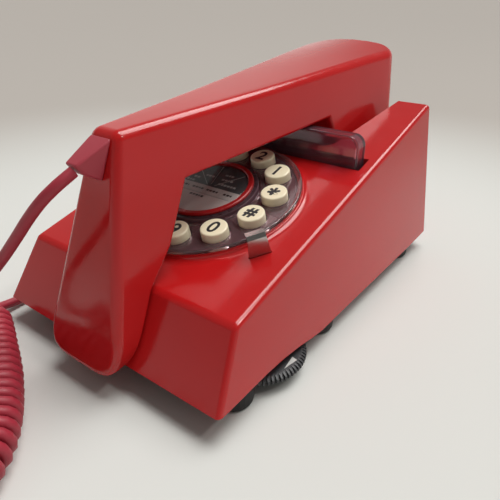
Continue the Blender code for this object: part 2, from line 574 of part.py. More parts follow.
cover_posts, cover_bores, shell_posts, shell_bores = [], [], [], []
for y in HANDSET_SCREWS:
    z = underside_height(y)
    cover_posts.append(moved(cylinder(4.4, z + 1.5, z + 4.6, 20), (0, y, 0)))
    bore = [(3.1, z - 2), (3.1, z + 2.4), (1.7, z + 2.4), (1.7, z + 8)]
    cover_bores.append(moved(lathe(bore, 20), (0, y, 0)))
    shell_posts.append(moved(cylinder(3.6, z + 4.9, roof_height(y) - wall / 2, 20), (0, y, 0)))
    shell_bores.append(moved(cylinder(1.6, z + 3, z + 13.0, 20), (0, y, 0)))
boolean(cover, cutter("add_cover_posts", joined(*cover_posts), BODY), "UNION")
boolean(cover, cutter("cut_cover_bores", joined(*cover_bores), BODY))
boolean(shell, cutter("add_shell_posts", joined(*shell_posts), BODY), "UNION")
boolean(shell, cutter("cut_shell_bores", joined(*shell_bores), BODY))
for place, y in zip(("front", "rear"), HANDSET_SCREWS):
    z = underside_height(y)
    solid(f"handset_screw_{place}", moved(screw(z + 0.3, z + 11.0), (0, y, 0)), STEEL, BODY)

ear_x, ear_y = EAR_CENTRE
ear_low = HANDSET[END_LOW][1]
sound_holes = [moved(cylinder(1.4, ear_low - 3, ear_low + 5, 12), (ear_x, ear_y, 0))]
for i in range(6):
    a = math.tau * i / 6
    spot = (ear_x + 6.5 * math.cos(a), ear_y + 6.5 * math.sin(a), 0)
    sound_holes.append(moved(cylinder(1.4, ear_low - 3, ear_low + 5, 12), spot))
boolean(cover, cutter("cut_ear_holes", joined(*sound_holes), BODY))
capsule = [(15.5, ear_low + 2.7), (17.0, ear_low + 4.0), (17.0, ear_low + 13.0), (14.0, ear_low + 15.0)]
solid("receiver_capsule", moved(lathe(capsule, 32), (ear_x, ear_y, 0)), STEEL, BODY)

lean = Matrix.Rotation(math.radians(90 - MIC_LEAN), 4, "X")
mic_holes = [moved(cylinder(0.9, -12, 0, 10), (x, *MIC_CENTRE), lean) for x in (-5, 0, 5)]
boolean(cover, cutter("cut_mic_holes", joined(*mic_holes), BODY))
solid("microphone_capsule", moved(cylinder(5.5, -1.8, 1.8, 24), (0, *MIC_CENTRE), lean), STEEL, BODY)

# ------------------------------------------------------------------ handset cord
(top_y, top_z), (low_y, low_z) = LEG_FACE
relief = loft([[(-5.1, top_y, top_z), (5.1, top_y, top_z), (3.2, low_y, low_z), (-3.2, low_y, low_z)],
               [(-2.8, 0.5, 77.7), (2.8, 0.5, 77.7), (2.4, 3.5, 74.0), (-2.4, 3.5, 74.0)]])
solid("strain_relief", relief, PINK, BODY)


def bar(name, route, diameter, sides, finish):
    """A stretch of cord as a curve with a round section and filled ends."""
    path = smooth_route(route, 2.5 * diameter)
    data = bpy.data.curves.new(name, "CURVE")
    data.dimensions = "3D"
    data.bevel_depth = diameter / 2 * MM
    data.bevel_resolution = sides
    data.render_resolution_u = 0
    data.use_fill_caps = True
    spline = data.splines.new("POLY")
    spline.points.add(len(path) - 1)
    for point, place in zip(spline.points, path):
        point.co = (*(place * MM), 1.0)
    data.materials.append(finish)
    made = bpy.data.objects.new(name, data)
    bpy.context.scene.collection.objects.link(made)
    made.parent = BODY


bar("cord_tail", TAIL_ROUTE, CORD_WIRE, 2, PINK)
bar("cord_coil", COIL_ROUTE, COIL_OUTER, 3, PINK)
bar("cord_lead", LEAD_ROUTE, CORD_WIRE, 2, PINK)
y, z = SOCKET_LEFT
solid("cord_plug", box((-57.6, -46.8), (y - 3.6, y + 3.6), (z - 2.8, z + 2.8)), PINK, BODY)
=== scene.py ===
"""Looks of the push-button desk telephone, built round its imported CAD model.

Lengths are typed in millimetres in the body's own frame (x from the middle plane, y back
from the front lower edge, z above the table), as in the CAD source, and are moved into the
frame's metres when a piece is made.
"""
import math

import bmesh
import bpy
from mathutils import Matrix, Vector


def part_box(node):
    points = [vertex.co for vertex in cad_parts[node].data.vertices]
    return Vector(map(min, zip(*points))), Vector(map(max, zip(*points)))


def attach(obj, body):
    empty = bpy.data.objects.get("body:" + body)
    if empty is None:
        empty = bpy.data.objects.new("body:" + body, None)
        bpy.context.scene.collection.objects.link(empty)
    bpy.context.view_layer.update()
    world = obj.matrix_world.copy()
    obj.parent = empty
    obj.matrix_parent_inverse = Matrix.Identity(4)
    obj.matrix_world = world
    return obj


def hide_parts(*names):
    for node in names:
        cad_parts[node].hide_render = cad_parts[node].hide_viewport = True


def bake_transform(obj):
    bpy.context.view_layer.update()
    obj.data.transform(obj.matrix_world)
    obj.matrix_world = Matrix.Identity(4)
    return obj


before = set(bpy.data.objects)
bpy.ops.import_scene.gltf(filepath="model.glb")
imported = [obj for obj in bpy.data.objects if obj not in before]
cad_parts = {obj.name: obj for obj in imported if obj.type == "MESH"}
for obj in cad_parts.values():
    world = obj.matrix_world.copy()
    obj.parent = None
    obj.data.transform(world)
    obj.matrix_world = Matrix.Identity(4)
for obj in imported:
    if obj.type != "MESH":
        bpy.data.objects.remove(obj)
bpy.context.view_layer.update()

MM = 0.001
WHEEL_CENTRE = Vector((41.0, 38.6, 0.0))
wheel_low, wheel_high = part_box("volume_wheel")
WHEEL_MIDDLE = (wheel_low + wheel_high) / 2
ORIGIN = Vector((WHEEL_MIDDLE.x, WHEEL_MIDDLE.y, 0.0)) - WHEEL_CENTRE * MM      # body frame's origin
BODY = Matrix.Translation(ORIGIN)

# body: (y, z, half width) of each corner of the side profile
FRONT_WALL = ((0.0, 10.1, 56.3), (14.0, 34.2, 52.0))
BACK_WALL = ((173.8, 8.4, 56.6), (163.3, 76.5, 51.4))
LOWER_EDGE = [(-8, 9.9), (5, 9.9), (26, 10.5), (36, 10.2), (46, 9.2), (54, 7.9), (61, 7.1), (150, 6.9),
              (178, 8.4)]
WALL = 2.6
BODY_ROUND = 1.8
SLOPE = math.atan2(BACK_WALL[1][1] - FRONT_WALL[1][1], BACK_WALL[1][0] - FRONT_WALL[1][0])
WELL_FRONT, WELL_BACK, WELL_FLOOR, WELL_ROUND = 113.8, 186.0, 57.5, 7.0
WELL_HALF, WELL_FLARE = 27.8, 0.18
WELL_WALL = 2.5
SLOT_X, SLOT_Y = (-46.6, 46.6), (101.2, 110.2)

# sockets: y and z of the handset cord's, x and z of the exchange line's
SOCKET_LEFT, SOCKET_LINE = (111.0, 18.8), (25.0, 19.0)
SOCKET_WIDE, SOCKET_TALL = 7.0, 5.4      # half width and half height of their holes

# volume wheel
WHEEL_RADIUS, WHEEL_LOW, WHEEL_TOP = 19.4, 4.3, 6.9
WHEEL_TEETH, TOOTH_DEPTH = 72, 1.0
AXLE_RADIUS, AXLE_TOP = 3.0, 18.0
MARK_PLACE, MARK_TURN = (56.6, 37.9, 0.0), 80.5

# dial, in the sloping frame of the body's top (u right, v up the slope, h out of it)
DIAL_DISTANCE = 51.0                     # from the front top edge
DIAL_Y = FRONT_WALL[1][0] + DIAL_DISTANCE * math.cos(SLOPE)
DIAL_Z = FRONT_WALL[1][1] + DIAL_DISTANCE * math.sin(SLOPE)
DIAL = BODY @ Matrix.Translation(Vector((0, DIAL_Y, DIAL_Z)) * MM) @ Matrix.Rotation(SLOPE, 4, "X")
OPENING_RADIUS = 35.8
PEDESTAL_LOW, PEDESTAL_TOP = -2.2, 1.1
PEDESTAL_EDGE, PEDESTAL_FOOT = 38.2, 41.0
RING_OUTER, RING_INNER = 37.8, 21.0
RING_LOW, RING_TOP = 1.4, 3.1
HUB_RADIUS, HUB_TOP = 20.4, 4.2
BASE_RADIUS, BASE_LOW, BASE_TOP = 35.3, -5.9, 0.9
WEDGE = (332.0, 356.0)                   # angles between which the pale field lies
BUTTON_CIRCLE, BUTTON_RADIUS, BUTTON_TOP = 28.5, 5.2, 5.8
BUTTON_FLOOR, FLANGE_TOP, FLANGE_RADIUS = -7.6, -6.4, 6.3
FIRST_BUTTON = 43.8                      # degrees, place of number 1
BUTTONS = ["1", "2", "3", "4", "5", "6", "7", "8", "9", "0", "hash", "star"]
FIGURE_SIZE, FIGURE_WEIGHT = 8.4, 0.15
FIGURES = {"hash": ("#", 7.2, 0.30), "star": ("*", 10.4, 0.30)}      # figure, size, weight

# centre label, whose rows of short bars stand for lettering: (start u, v, lengths of the bars)
CARD_RADIUS, RIM_INNER, RIM_OUTER = 16.2, 16.5, 18.7
CARD_LOW, CARD_THICK = HUB_TOP + 0.2, 0.19
MARK_TALL, MARK_GAP, MARK_THICK = 1.1, 0.45, 0.05
CARD_RAYS = (52, 104, 140)               # degrees, the lines that part the upper field
LIGHT_ROWS = [(1.2, 9.6, (1.3, 0.8, 1.2)), (1.6, 6.4, (1.2, 1.2, 0.7, 1.2)),
              (2.2, 3.2, (1.2, 0.8, 1.2, 1.2, 1.0, 1.2)), (-11.5, 4.2, (1.2, 1.2)),
              (-7.0, 6.8, (0.9, 1.2, 1.2)), (-13.6, 1.7, (1.2, 0.8, 1.2))]
DARK_ROWS = [(-13.2, -2.1, (1.3, 1.3, 0.5)), (-7.2, -2.1, (1.2, 1.2, 0.8, 1.2)),
             (0.2, -2.1, (1.2, 1.2, 1.2, 0.9)), (9.0, -2.1, (1.2, 1.2, 0.8)),
             (-4.8, -6.6, (1.1, 1.1, 1.1, 0.6, 1.2))]

# finger stop: where its foot stands, which way it faces and the outline of its strip (outwards, up)
STOP_PLACE, STOP_TURN = (39.0, -20.2, 0.0), -38.0
STOP_FOOT, STOP_WIDE, STOP_NARROW = (0.4, 1.1), 4.05, 3.4
STOP_STRIP = [(-3.0, 8.1), (-0.8, 8.1), (-0.4, 7.7), (0.3, 6.8), (1.1, 0.4), (1.1, -4.5), (0.4, -4.5),
              (0.4, 0.4), (-0.4, 6.6), (-1.0, 7.4), (-3.0, 7.4)]

# cradle plunger
PLUNGER_HALF, PLUNGER_FRONT, PLUNGER_BACK = 45.0, 102.0, 109.4
PLUNGER_LOW, PLUNGER_TOP, PLUNGER_WALL = 50.0, 71.9, 1.7

# handset side profile (y, z), starting at the bend and running over the top
HANDSET = [(13.7, 85.5), (183.0, 97.1), (173.5, 60.2), (122.5, 60.2), (118.0, 73.7), (91.0, 71.2),
           (36.0, 66.5), (30.6, 57.0), (24.2, 46.2), (13.4, 34.7), (-1.0, 9.0), (-8.8, 7.4)]
BEND, END_TOP, END_LOW, TIP_BACK, TIP_FRONT = 0, 1, 2, 10, 11
UNDERSIDE = HANDSET[END_LOW:TIP_BACK + 1]
HANDSET_HALF, HANDSET_BACK_FLARE, HANDSET_DROP_FLARE = 6.6, 0.135, 0.213
HALF_Y, HALF_Z = 13.0, 83.5              # where the half width is HANDSET_HALF
HANDSET_WALL, COVER_THICK, COVER_GAP, COVER_RECESS = 2.2, 1.9, 0.35, 0.3
HANDSET_RIM, UNDER_RIM = 3.0, 1.4
END_ROUND, TIP_ROUND = (13.0, 0.5), (16.0, 0.65)      # radius and squareness of the ends' corners
SWELL, SWELL_DROP, SWELL_START, SWELL_REACH = 4.3, 5.0, 60.0, 130.0
SWELL_LOW, SWELL_TALL, SWELL_HALF = 70.0, 20.0, 30.0
EAR_CENTRE = (0.0, 151.5)
EAR_HOLE, EAR_HOLES, EAR_CIRCLE = 1.4, 6, 6.5
MIC_CENTRE, MIC_LEAN = (3.2, 29.0), 21.0
MIC_HOLE, MIC_GAP = 0.9, 5
SCREW_HOLE, HANDSET_SCREWS = 3.1, (50.0, 110.0)

# strain relief: upper and lower (half width, y, z) of its face on the handset's leg and of its small end
LEG_FACE = ((5.1, 13.2, 83.8), (3.2, 9.4, 70.6))
SMALL_FACE = ((2.8, 0.5, 77.7), (2.4, 3.5, 74.0))
RELIEF_ROUND = 0.9

# handset cord, whose routes repeat the CAD source's
CORD_WIRE, COIL_OUTER, COIL_PITCH = 3.8, 14.0, 4.05
COIL_STEPS, COIL_RAMP = 14, 1.5          # points in each turn, turns over which the coil opens
TAIL_ROUTE = [(0, 1.6, 75.3), (-1, -3.6, 72.4), (-4, -7.8, 68.0), (-9.5, -10.3, 61.4), (-16, -12.6, 53.2),
              (-24, -15.6, 43.4), (-33, -20, 33), (-43, -28, 22.5), (-51, -38.5, 14), (-56, -50, 9.4),
              (-57.6, -58, 8.2)]
COIL_ROUTE = [(-58, -60.5, 7.8), (-55, -76, 7.4), (-42, -90, 7.4), (-22, -96.5, 7.4), (-2, -93, 7.4),
              (11.5, -81, 7.4), (17, -66, 7.4), (14, -52, 7.4), (4, -40.5, 7.4), (-14, -28.8, 7.4),
              (-34, -19.2, 7.4), (-46, -13.8, 7.4), (-55.5, -9.8, 7.2)]
LEAD_ROUTE = [(-57.6, -8.4, 6.6), (-60.6, -4.4, 4.6), (-62.2, 4, 2.9), (-62.8, 16, 2.1), (-63.6, 32, 2.0),
              (-65.4, 52, 2.0), (-67.6, 70, 2.6), (-69.8, 84, 6.2), (-71.0, 95, 12), (-70.2, 103.5, 17),
              (-66.5, 109.3, 18.6), (-61.8, 111, 18.8), (-58.0, 111, 18.8)]

# sky: strengths in front and behind, a patch of glow and a band above the horizon
SKY_COLOUR, SKY_FRONT, SKY_BACK = (1.0, 0.965, 0.92, 1.0), 0.14, 0.24
GLOW_DIRECTION, GLOW = (-0.80, 0.52, 0.30), 0.34
GLOW_REACH = 0.80                        # cosine of the angle at which the patch ends
HORIZON, HORIZON_TOP = 0.50, 0.42        # strength, and the upward part of the direction where it ends

# lights and floor, with places and distances in metres
SUN_PLACE, SUN_POWER, SUN_ANGLE = (0.12, 0.60, 1.45), 2.8, 0.72
LAMP_PLACE, LAMP_POWER, LAMP_SIZE = (0.8, 0.25, 1.1), 2.2, 0.14
AIM = (0.0, 0.0, 0.05)                   # what the lights shine at
# the floor's colour goes from near to far: painted falloff of the light round the telephone
FLOOR_NEAR, FLOOR_FAR = (0.66, 0.67, 0.645), (0.45, 0.42, 0.39)
FADE_START, FADE_END, FLOOR_REACH = 0.15, 0.46, 12.0


# ------------------------------------------------------------------ camera
CAMERA_PLACE = (128.19, -81.99, 124.78)
CAMERA_YAW, CAMERA_PITCH, CAMERA_ROLL = 0.6393, 0.4831, 0.01005      # radians
FOCAL_LENGTH, SENSOR_WIDTH = 36.15, 36.0

camera_data = bpy.data.cameras.new("camera")
camera_data.lens = FOCAL_LENGTH
camera_data.sensor_width = SENSOR_WIDTH
camera_data.clip_start = 0.01
camera = bpy.data.objects.new("camera", camera_data)
bpy.context.scene.collection.objects.link(camera)
turn = Matrix.Rotation(CAMERA_YAW, 4, "Z") @ Matrix.Rotation(math.pi / 2 - CAMERA_PITCH, 4, "X")
turn = turn @ Matrix.Rotation(CAMERA_ROLL, 4, "Z")
camera.matrix_world = BODY @ Matrix.Translation(Vector(CAMERA_PLACE) * MM) @ turn
bpy.context.scene.camera = camera


# ------------------------------------------------------------------ small geometry helpers
def wall_at(wall, z):
    """y and half width of the front or back wall at height z."""
    (y0, z0, w0), (y1, z1, w1) = wall
    k = (z - z0) / (z1 - z0)
    return y0 + k * (y1 - y0), w0 + k * (w1 - w0)


def offset_edges(points, distances):
    """A clockwise outline (seen with +z up) with each edge moved inwards by its own distance."""
    lines = []
    for i, distance in enumerate(distances):
        start, stop = Vector(points[i]), Vector(points[(i + 1) % len(points)])
        run = (stop - start).normalized()
        lines.append((start + Vector((run.y, -run.x)) * distance, run))
    corners = []
    for (p, run), (q, other) in zip([lines[-1]] + lines[:-1], lines):
        reach = (q - p).cross(other) / run.cross(other)
        corners.append(tuple(p + run * reach))
    return corners


def arc(centre, radius, start, end, steps):
    """Points on an arc, angles in degrees."""
    angles = [math.radians(start + (end - start) * i / steps) for i in range(steps + 1)]
    return [(centre[0] + radius * math.cos(a), centre[1] + radius * math.sin(a)) for a in angles]


def loft(rings, closed=False):
    """A mesh through rings of equally many points, with flat ends or closed on itself."""
    mesh = bmesh.new()
    rows = [[mesh.verts.new(Vector(p) * MM) for p in ring] for ring in rings]
    count = len(rows[0])
    pairs = list(zip(rows, rows[1:]))
    if closed:
        pairs.append((rows[-1], rows[0]))
    for low, high in pairs:
        for i in range(count):
            j = (i + 1) % count
            mesh.faces.new((low[i], low[j], high[j], high[i]))
    if not closed:
        mesh.faces.new(rows[0][::-1])
        mesh.faces.new(rows[-1])
    bmesh.ops.recalc_face_normals(mesh, faces=mesh.faces)
    return mesh


def lathe(profile, segments=64, closed=False):
    """Points (radius, height) turned about Z; an open profile gets flat ends."""
    rings = []
    for radius, height in profile:
        rings.append([(radius * math.cos(math.tau * i / segments),
                       radius * math.sin(math.tau * i / segments), height) for i in range(segments)])
    return loft(rings, closed=closed)


def prism(outline, low, high, along="z"):
    """An outline pushed along one axis.  along="x" takes (y, z) points."""
    def place(point, level):
        a, b = point
        return (a, b, level) if along == "z" else (level, a, b)
    return loft([[place(p, low) for p in outline], [place(p, high) for p in outline]])


def box(x, y, z):
    """A box from three (low, high) pairs."""
    return prism([(x[0], y[0]), (x[1], y[0]), (x[1], y[1]), (x[0], y[1])], z[0], z[1])


def cylinder(radius, low, high, segments=32):
    return lathe([(radius, low), (radius, high)], segments)


def moved(mesh, offset, turn=None):
    """The mesh turned and then moved by an offset in millimetres."""
    if turn is not None:
        bmesh.ops.transform(mesh, matrix=turn, verts=mesh.verts)
    bmesh.ops.translate(mesh, vec=Vector(offset) * MM, verts=mesh.verts)
    return mesh


def joined(meshes):
    """Several meshes in one."""
    total = bmesh.new()
    for mesh in meshes:
        scratch = bpy.data.meshes.new("scratch")
        mesh.to_mesh(scratch)
        total.from_mesh(scratch)
        bpy.data.meshes.remove(scratch)
        mesh.free()
    return total


def bevelled(mesh, edges, radius, segments):
    """The mesh with rounded edges."""
    bmesh.ops.bevel(mesh, geom=edges, offset=radius * MM, offset_type="OFFSET", segments=segments,
                    profile=0.5, affect="EDGES", clamp_overlap=True, material=-1)
    bmesh.ops.remove_doubles(mesh, verts=mesh.verts, dist=1e-6)
    bmesh.ops.recalc_face_normals(mesh, faces=mesh.faces)
    return mesh


def carved(mesh, *steps):
    """The mesh after Boolean steps, each ("DIFFERENCE" or "UNION" or "INTERSECT", tool mesh)."""
    holder = bpy.data.objects.new("holder", bpy.data.meshes.new("holder"))
    bpy.context.scene.collection.objects.link(holder)
    mesh.to_mesh(holder.data)
    mesh.free()
    for operation, tool_mesh in steps:
        tool = bpy.data.objects.new("tool", bpy.data.meshes.new("tool"))
        bpy.context.scene.collection.objects.link(tool)
        tool_mesh.to_mesh(tool.data)
        tool_mesh.free()
        step = holder.modifiers.new("step", "BOOLEAN")
        step.object, step.operation, step.solver = tool, operation, "EXACT"
        bpy.context.view_layer.update()
        done = bpy.data.meshes.new_from_object(holder.evaluated_get(bpy.context.evaluated_depsgraph_get()))
        holder.modifiers.clear()
        holder.data = done
        bpy.data.objects.remove(tool)
    result = bmesh.new()
    result.from_mesh(holder.data)
    bpy.data.objects.remove(holder)
    bmesh.ops.remove_doubles(result, verts=result.verts, dist=2e-6)
    bmesh.ops.dissolve_degenerate(result, edges=result.edges, dist=1e-6)
    return result


def smooth_route(points, step):
    """Evenly dense points on a Catmull-Rom curve through the route."""
    route = [Vector(p) for p in points]
    route = [route[0] * 2 - route[1]] + route + [route[-1] * 2 - route[-2]]
    dense = []
    for a, b, c, d in zip(route, route[1:], route[2:], route[3:]):
        pieces = max(1, round((c - b).length / step))
        for i in range(pieces):
            t = i / pieces
            dense.append(0.5 * (2 * b + (c - a) * t + (2 * a - 5 * b + 4 * c - d) * t ** 2
                                + (3 * b - 3 * c + d - a) * t ** 3))
    dense.append(route[-2])
    return dense


def even_route(points, step):
    """The smooth route with points the same distance apart."""
    fine = smooth_route(points, step / 6)
    total = sum((b - a).length for a, b in zip(fine, fine[1:]))
    count = round(total / step)
    gap = total / count
    result, travelled, index = [fine[0]], 0.0, 0
    for i in range(1, count):
        wanted = i * gap
        while travelled + (fine[index + 1] - fine[index]).length < wanted:
            travelled += (fine[index + 1] - fine[index]).length
            index += 1
        run = fine[index + 1] - fine[index]
        result.append(fine[index] + run * ((wanted - travelled) / run.length))
    return result + [fine[-1]]


def sweep(path, radius, segments):
    """A round bar along points, with a frame carried along the path."""
    side = Vector((0, 0, 1)).cross(path[1] - path[0]).normalized()
    rings = []
    for i, here in enumerate(path):
        ahead = (path[min(i + 1, len(path) - 1)] - path[max(i - 1, 0)]).normalized()
        side = (side - ahead * side.dot(ahead)).normalized()
        up = ahead.cross(side)
        rings.append([here + (side * math.cos(a) + up * math.sin(a)) * radius
                      for a in (math.tau * k / segments for k in range(segments))])
    return loft(rings)


# ------------------------------------------------------------------ materials
class Nodes:
    """A short way to write a node tree."""

    def __init__(self, tree):
        self.tree = tree

    def add(self, kind, inputs=None, **settings):
        """A node whose inputs are linked to sockets or set to values."""
        node = self.tree.nodes.new(kind)
        for name, value in settings.items():
            setattr(node, name, value)
        for name, value in (inputs or {}).items():
            socket = node.inputs[name]
            if isinstance(value, bpy.types.NodeSocket):
                self.tree.links.new(value, socket)
            else:
                socket.default_value = value
        return node

    def noise(self, scale, detail=4.0, rough=0.55, stretch=(1, 1, 1)):
        """Noise in object space, whose scale is in features for each metre."""
        place = self.add("ShaderNodeTexCoord").outputs["Object"]
        spread = self.add("ShaderNodeMapping", {"Vector": place, "Scale": stretch}).outputs["Vector"]
        return self.add("ShaderNodeTexNoise", {"Vector": spread, "Scale": scale, "Detail": detail,
                                               "Roughness": rough}).outputs["Fac"]

    def span(self, value, low, high, to_low=0.0, to_high=1.0, how="LINEAR"):
        """A value carried from one range to another."""
        return self.add("ShaderNodeMapRange", {"Value": value, "From Min": low, "From Max": high,
                                               "To Min": to_low, "To Max": to_high},
                        interpolation_type=how).outputs["Result"]

    def blend_colours(self, factor, first, second):
        """A mix of two colours; a mix node's colour sockets share their names with its other sockets."""
        mix = self.add("ShaderNodeMix", data_type="RGBA")
        colour_a, colour_b, colour_result = mix.inputs[6], mix.inputs[7], mix.outputs[2]
        self.tree.links.new(factor, mix.inputs["Factor"])
        colour_a.default_value = (*first, 1.0)
        colour_b.default_value = (*second, 1.0)
        return colour_result

    def bump(self, height, strength, distance, normal=None):
        """A bumped normal, on top of another one if that is given."""
        inputs = {"Height": height, "Strength": strength, "Distance": distance}
        if normal is not None:
            inputs["Normal"] = normal
        return self.add("ShaderNodeBump", inputs).outputs["Normal"]


def new_material(name):
    """A material with its node writer and its Principled shader."""
    made = bpy.data.materials.new(name)
    made.use_nodes = True
    shader = made.node_tree.nodes["Principled BSDF"]
    return made, Nodes(made.node_tree), shader


def darker(colour, share):
    """A colour brought down to a share of itself."""
    return tuple(c * share for c in colour)


def plastic(name, colour, deeper, roughness, spread, wave=0.0, grain=0.0):
    """Moulded plastic: a little colour drift, uneven gloss, a slow waviness and a fine grain."""
    made, nodes, shader = new_material(name)
    link = made.node_tree.links.new
    drift = nodes.span(nodes.noise(14, 3), 0.3, 0.7)
    link(nodes.blend_colours(drift, colour, deeper), shader.inputs["Base Color"])
    wear = nodes.span(nodes.noise(160, 6, 0.65), 0.35, 0.75, roughness, roughness + spread)
    link(wear, shader.inputs["Roughness"])
    normal = nodes.bump(nodes.noise(45, 2), 0.35, wave) if wave else None
    if grain:
        normal = nodes.bump(nodes.noise(2400, 3), 0.5, grain, normal)
    if normal is not None:
        link(normal, shader.inputs["Normal"])
    return made


def smoky(name, colour, roughness):
    """Clear tinted plastic with faint handling marks."""
    made, nodes, shader = new_material(name)
    link = made.node_tree.links.new
    drift = nodes.span(nodes.noise(60, 3), 0.3, 0.7)
    link(nodes.blend_colours(drift, colour, darker(colour, 0.9)), shader.inputs["Base Color"])
    marks = nodes.span(nodes.noise(900, 5, 0.7), 0.45, 0.8, roughness, roughness + 0.12)
    link(marks, shader.inputs["Roughness"])
    shader.inputs["Transmission Weight"].default_value = 0.93
    shader.inputs["IOR"].default_value = 1.49
    return made


def film(name, colour, roughness):
    """A thin clear window that lets light through to what it covers."""
    made, nodes, shader = new_material(name)
    link = made.node_tree.links.new
    link(nodes.blend_colours(nodes.noise(60, 3), colour, darker(colour, 0.8)), shader.inputs["Base Color"])
    marks = nodes.span(nodes.noise(700, 5, 0.7), 0.45, 0.8, roughness, roughness + 0.10)
    link(marks, shader.inputs["Roughness"])
    shader.inputs["Alpha"].default_value = 0.14
    shader.inputs["IOR"].default_value = 1.8
    return made


def metal(name, colour, roughness, brushed=0.0):
    """Bare metal with fine streaks in its gloss."""
    made, nodes, shader = new_material(name)
    link = made.node_tree.links.new
    streaks = nodes.noise(350, 4, 0.6, (1, 1, 14))
    link(nodes.span(streaks, 0.3, 0.7, roughness, roughness + 0.08 + brushed), shader.inputs["Roughness"])
    link(nodes.blend_colours(nodes.noise(80, 3), colour, darker(colour, 0.9)), shader.inputs["Base Color"])
    shader.inputs["Metallic"].default_value = 1.0
    return made


RED = plastic("red_gloss", (0.53, 0.0115, 0.0125), (0.48, 0.010, 0.011), 0.10, 0.13, wave=0.00002)
RED_RING = plastic("red_ring", (0.36, 0.010, 0.012), (0.32, 0.009, 0.010), 0.20, 0.12)
CORD_RED = plastic("cord_red", (0.40, 0.028, 0.050), (0.34, 0.022, 0.041), 0.42, 0.16, grain=0.00003)
RELIEF_RED = plastic("relief_red", (0.42, 0.040, 0.062), (0.37, 0.033, 0.053), 0.38, 0.14, grain=0.00002)
IVORY = plastic("ivory", (0.90, 0.82, 0.60), (0.86, 0.775, 0.55), 0.28, 0.12)
INK = plastic("ink", (0.006, 0.006, 0.007), (0.010, 0.010, 0.011), 0.45, 0.10)
WHITE_INK = plastic("white_ink", (0.62, 0.62, 0.60), (0.55, 0.55, 0.53), 0.5, 0.10)
BLACK = plastic("black_plastic", (0.012, 0.012, 0.013), (0.018, 0.018, 0.019), 0.34, 0.20, grain=0.00002)
WHEEL_BLACK = plastic("wheel_black", (0.030, 0.032, 0.036), (0.038, 0.040, 0.044), 0.38, 0.15, grain=0.00002)
DARK_BASE = plastic("dark_base", (0.150, 0.075, 0.095), (0.165, 0.082, 0.104), 0.28, 0.16)
# the hub ring's dark colour is painted shade in the band beside the label rim
HUB_SHADE = plastic("hub_painted_shade", (0.040, 0.022, 0.027), (0.048, 0.026, 0.032), 0.22, 0.12)
GREY_WEDGE = plastic("grey_wedge", (0.42, 0.34, 0.34), (0.38, 0.30, 0.30), 0.3, 0.15)
RUBBER = plastic("rubber", (0.012, 0.012, 0.012), (0.020, 0.020, 0.020), 0.65, 0.25, grain=0.00004)
CARD_DARK = plastic("card_dark", (0.060, 0.070, 0.076), (0.070, 0.080, 0.086), 0.5, 0.15)
CARD_LIGHT = plastic("card_light", (0.82, 0.72, 0.69), (0.78, 0.68, 0.65), 0.5, 0.15)
CARD_BAND = plastic("card_band", (0.74, 0.70, 0.67), (0.70, 0.66, 0.63), 0.5, 0.15)
BOARD = plastic("board", (0.03, 0.14, 0.06), (0.025, 0.11, 0.05), 0.4, 0.15)
SILICONE = plastic("silicone", (0.20, 0.20, 0.21), (0.17, 0.17, 0.18), 0.6, 0.2)
SMOKY = smoky("smoky_ring", (0.66, 0.49, 0.52), 0.04)
SMOKY_BAR = smoky("smoky_bar", (0.66, 0.38, 0.48), 0.03)
CLEAR = film("clear_lens", (0.02, 0.02, 0.02), 0.03)
MIRROR = metal("mirror_steel", (0.52, 0.50, 0.48), 0.16)
STEEL = metal("zinc_steel", (0.55, 0.55, 0.54), 0.28, 0.1)


# ------------------------------------------------------------------ piece helpers
def piece(name, mesh, finish, body, place=BODY, *, replaces=(), sharp_angle=38.0, edge=0.0,
          weighted=True):
    """A shown piece from a mesh, placed by a frame and riding on a body.

    edge is the radius in millimetres that softens its sharp edges, and weighted evens out its shading.
    """
    data = bpy.data.meshes.new(name)
    mesh.to_mesh(data)
    mesh.free()
    data.transform(place)
    data.shade_smooth()
    data.set_sharp_from_angle(angle=math.radians(sharp_angle))
    data.materials.append(finish)
    made = bpy.data.objects.new(name, data)
    bpy.context.scene.collection.objects.link(made)
    if edge:
        soften = made.modifiers.new("edge", "BEVEL")
        soften.width, soften.segments, soften.limit_method = edge * MM, 2, "ANGLE"
        soften.angle_limit = math.radians(sharp_angle)
        soften.use_clamp_overlap = True
    if weighted:
        balance = made.modifiers.new("normals", "WEIGHTED_NORMAL")
        balance.mode, balance.weight, balance.keep_sharp = "FACE_AREA", 60, not edge
    if body:
        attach(made, body)
    if replaces:
        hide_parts(*replaces)
    return made


def text_mesh(words, size, weight, height=0.06):
    """A figure as a thin solid, centred, lying in the xy plane; weight thickens its strokes."""
    curve = bpy.data.curves.new("words", "FONT")
    curve.body = words
    curve.size = size
    curve.offset = weight
    curve.align_x, curve.align_y = "LEFT", "BOTTOM_BASELINE"
    curve.extrude = height / 2
    curve.resolution_u = 6
    holder = bpy.data.objects.new("words", curve)
    bpy.context.scene.collection.objects.link(holder)
    bpy.context.view_layer.update()
    data = bpy.data.meshes.new_from_object(holder.evaluated_get(bpy.context.evaluated_depsgraph_get()))
    bpy.data.objects.remove(holder)
    mesh = bmesh.new()
    mesh.from_mesh(data)
    bpy.data.meshes.remove(data)
    xs, ys = [v.co.x for v in mesh.verts], [v.co.y for v in mesh.verts]
    centre = Vector(((min(xs) + max(xs)) / 2, (min(ys) + max(ys)) / 2, 0))
    for v in mesh.verts:
        v.co = (v.co - centre) * MM
    bmesh.ops.remove_doubles(mesh, verts=mesh.verts, dist=1e-7)
    return mesh


def finish_node(name, material):
    """A CAD node that stays, with a better material."""
    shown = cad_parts[name]
    shown.data.materials.clear()
    shown.data.materials.append(material)


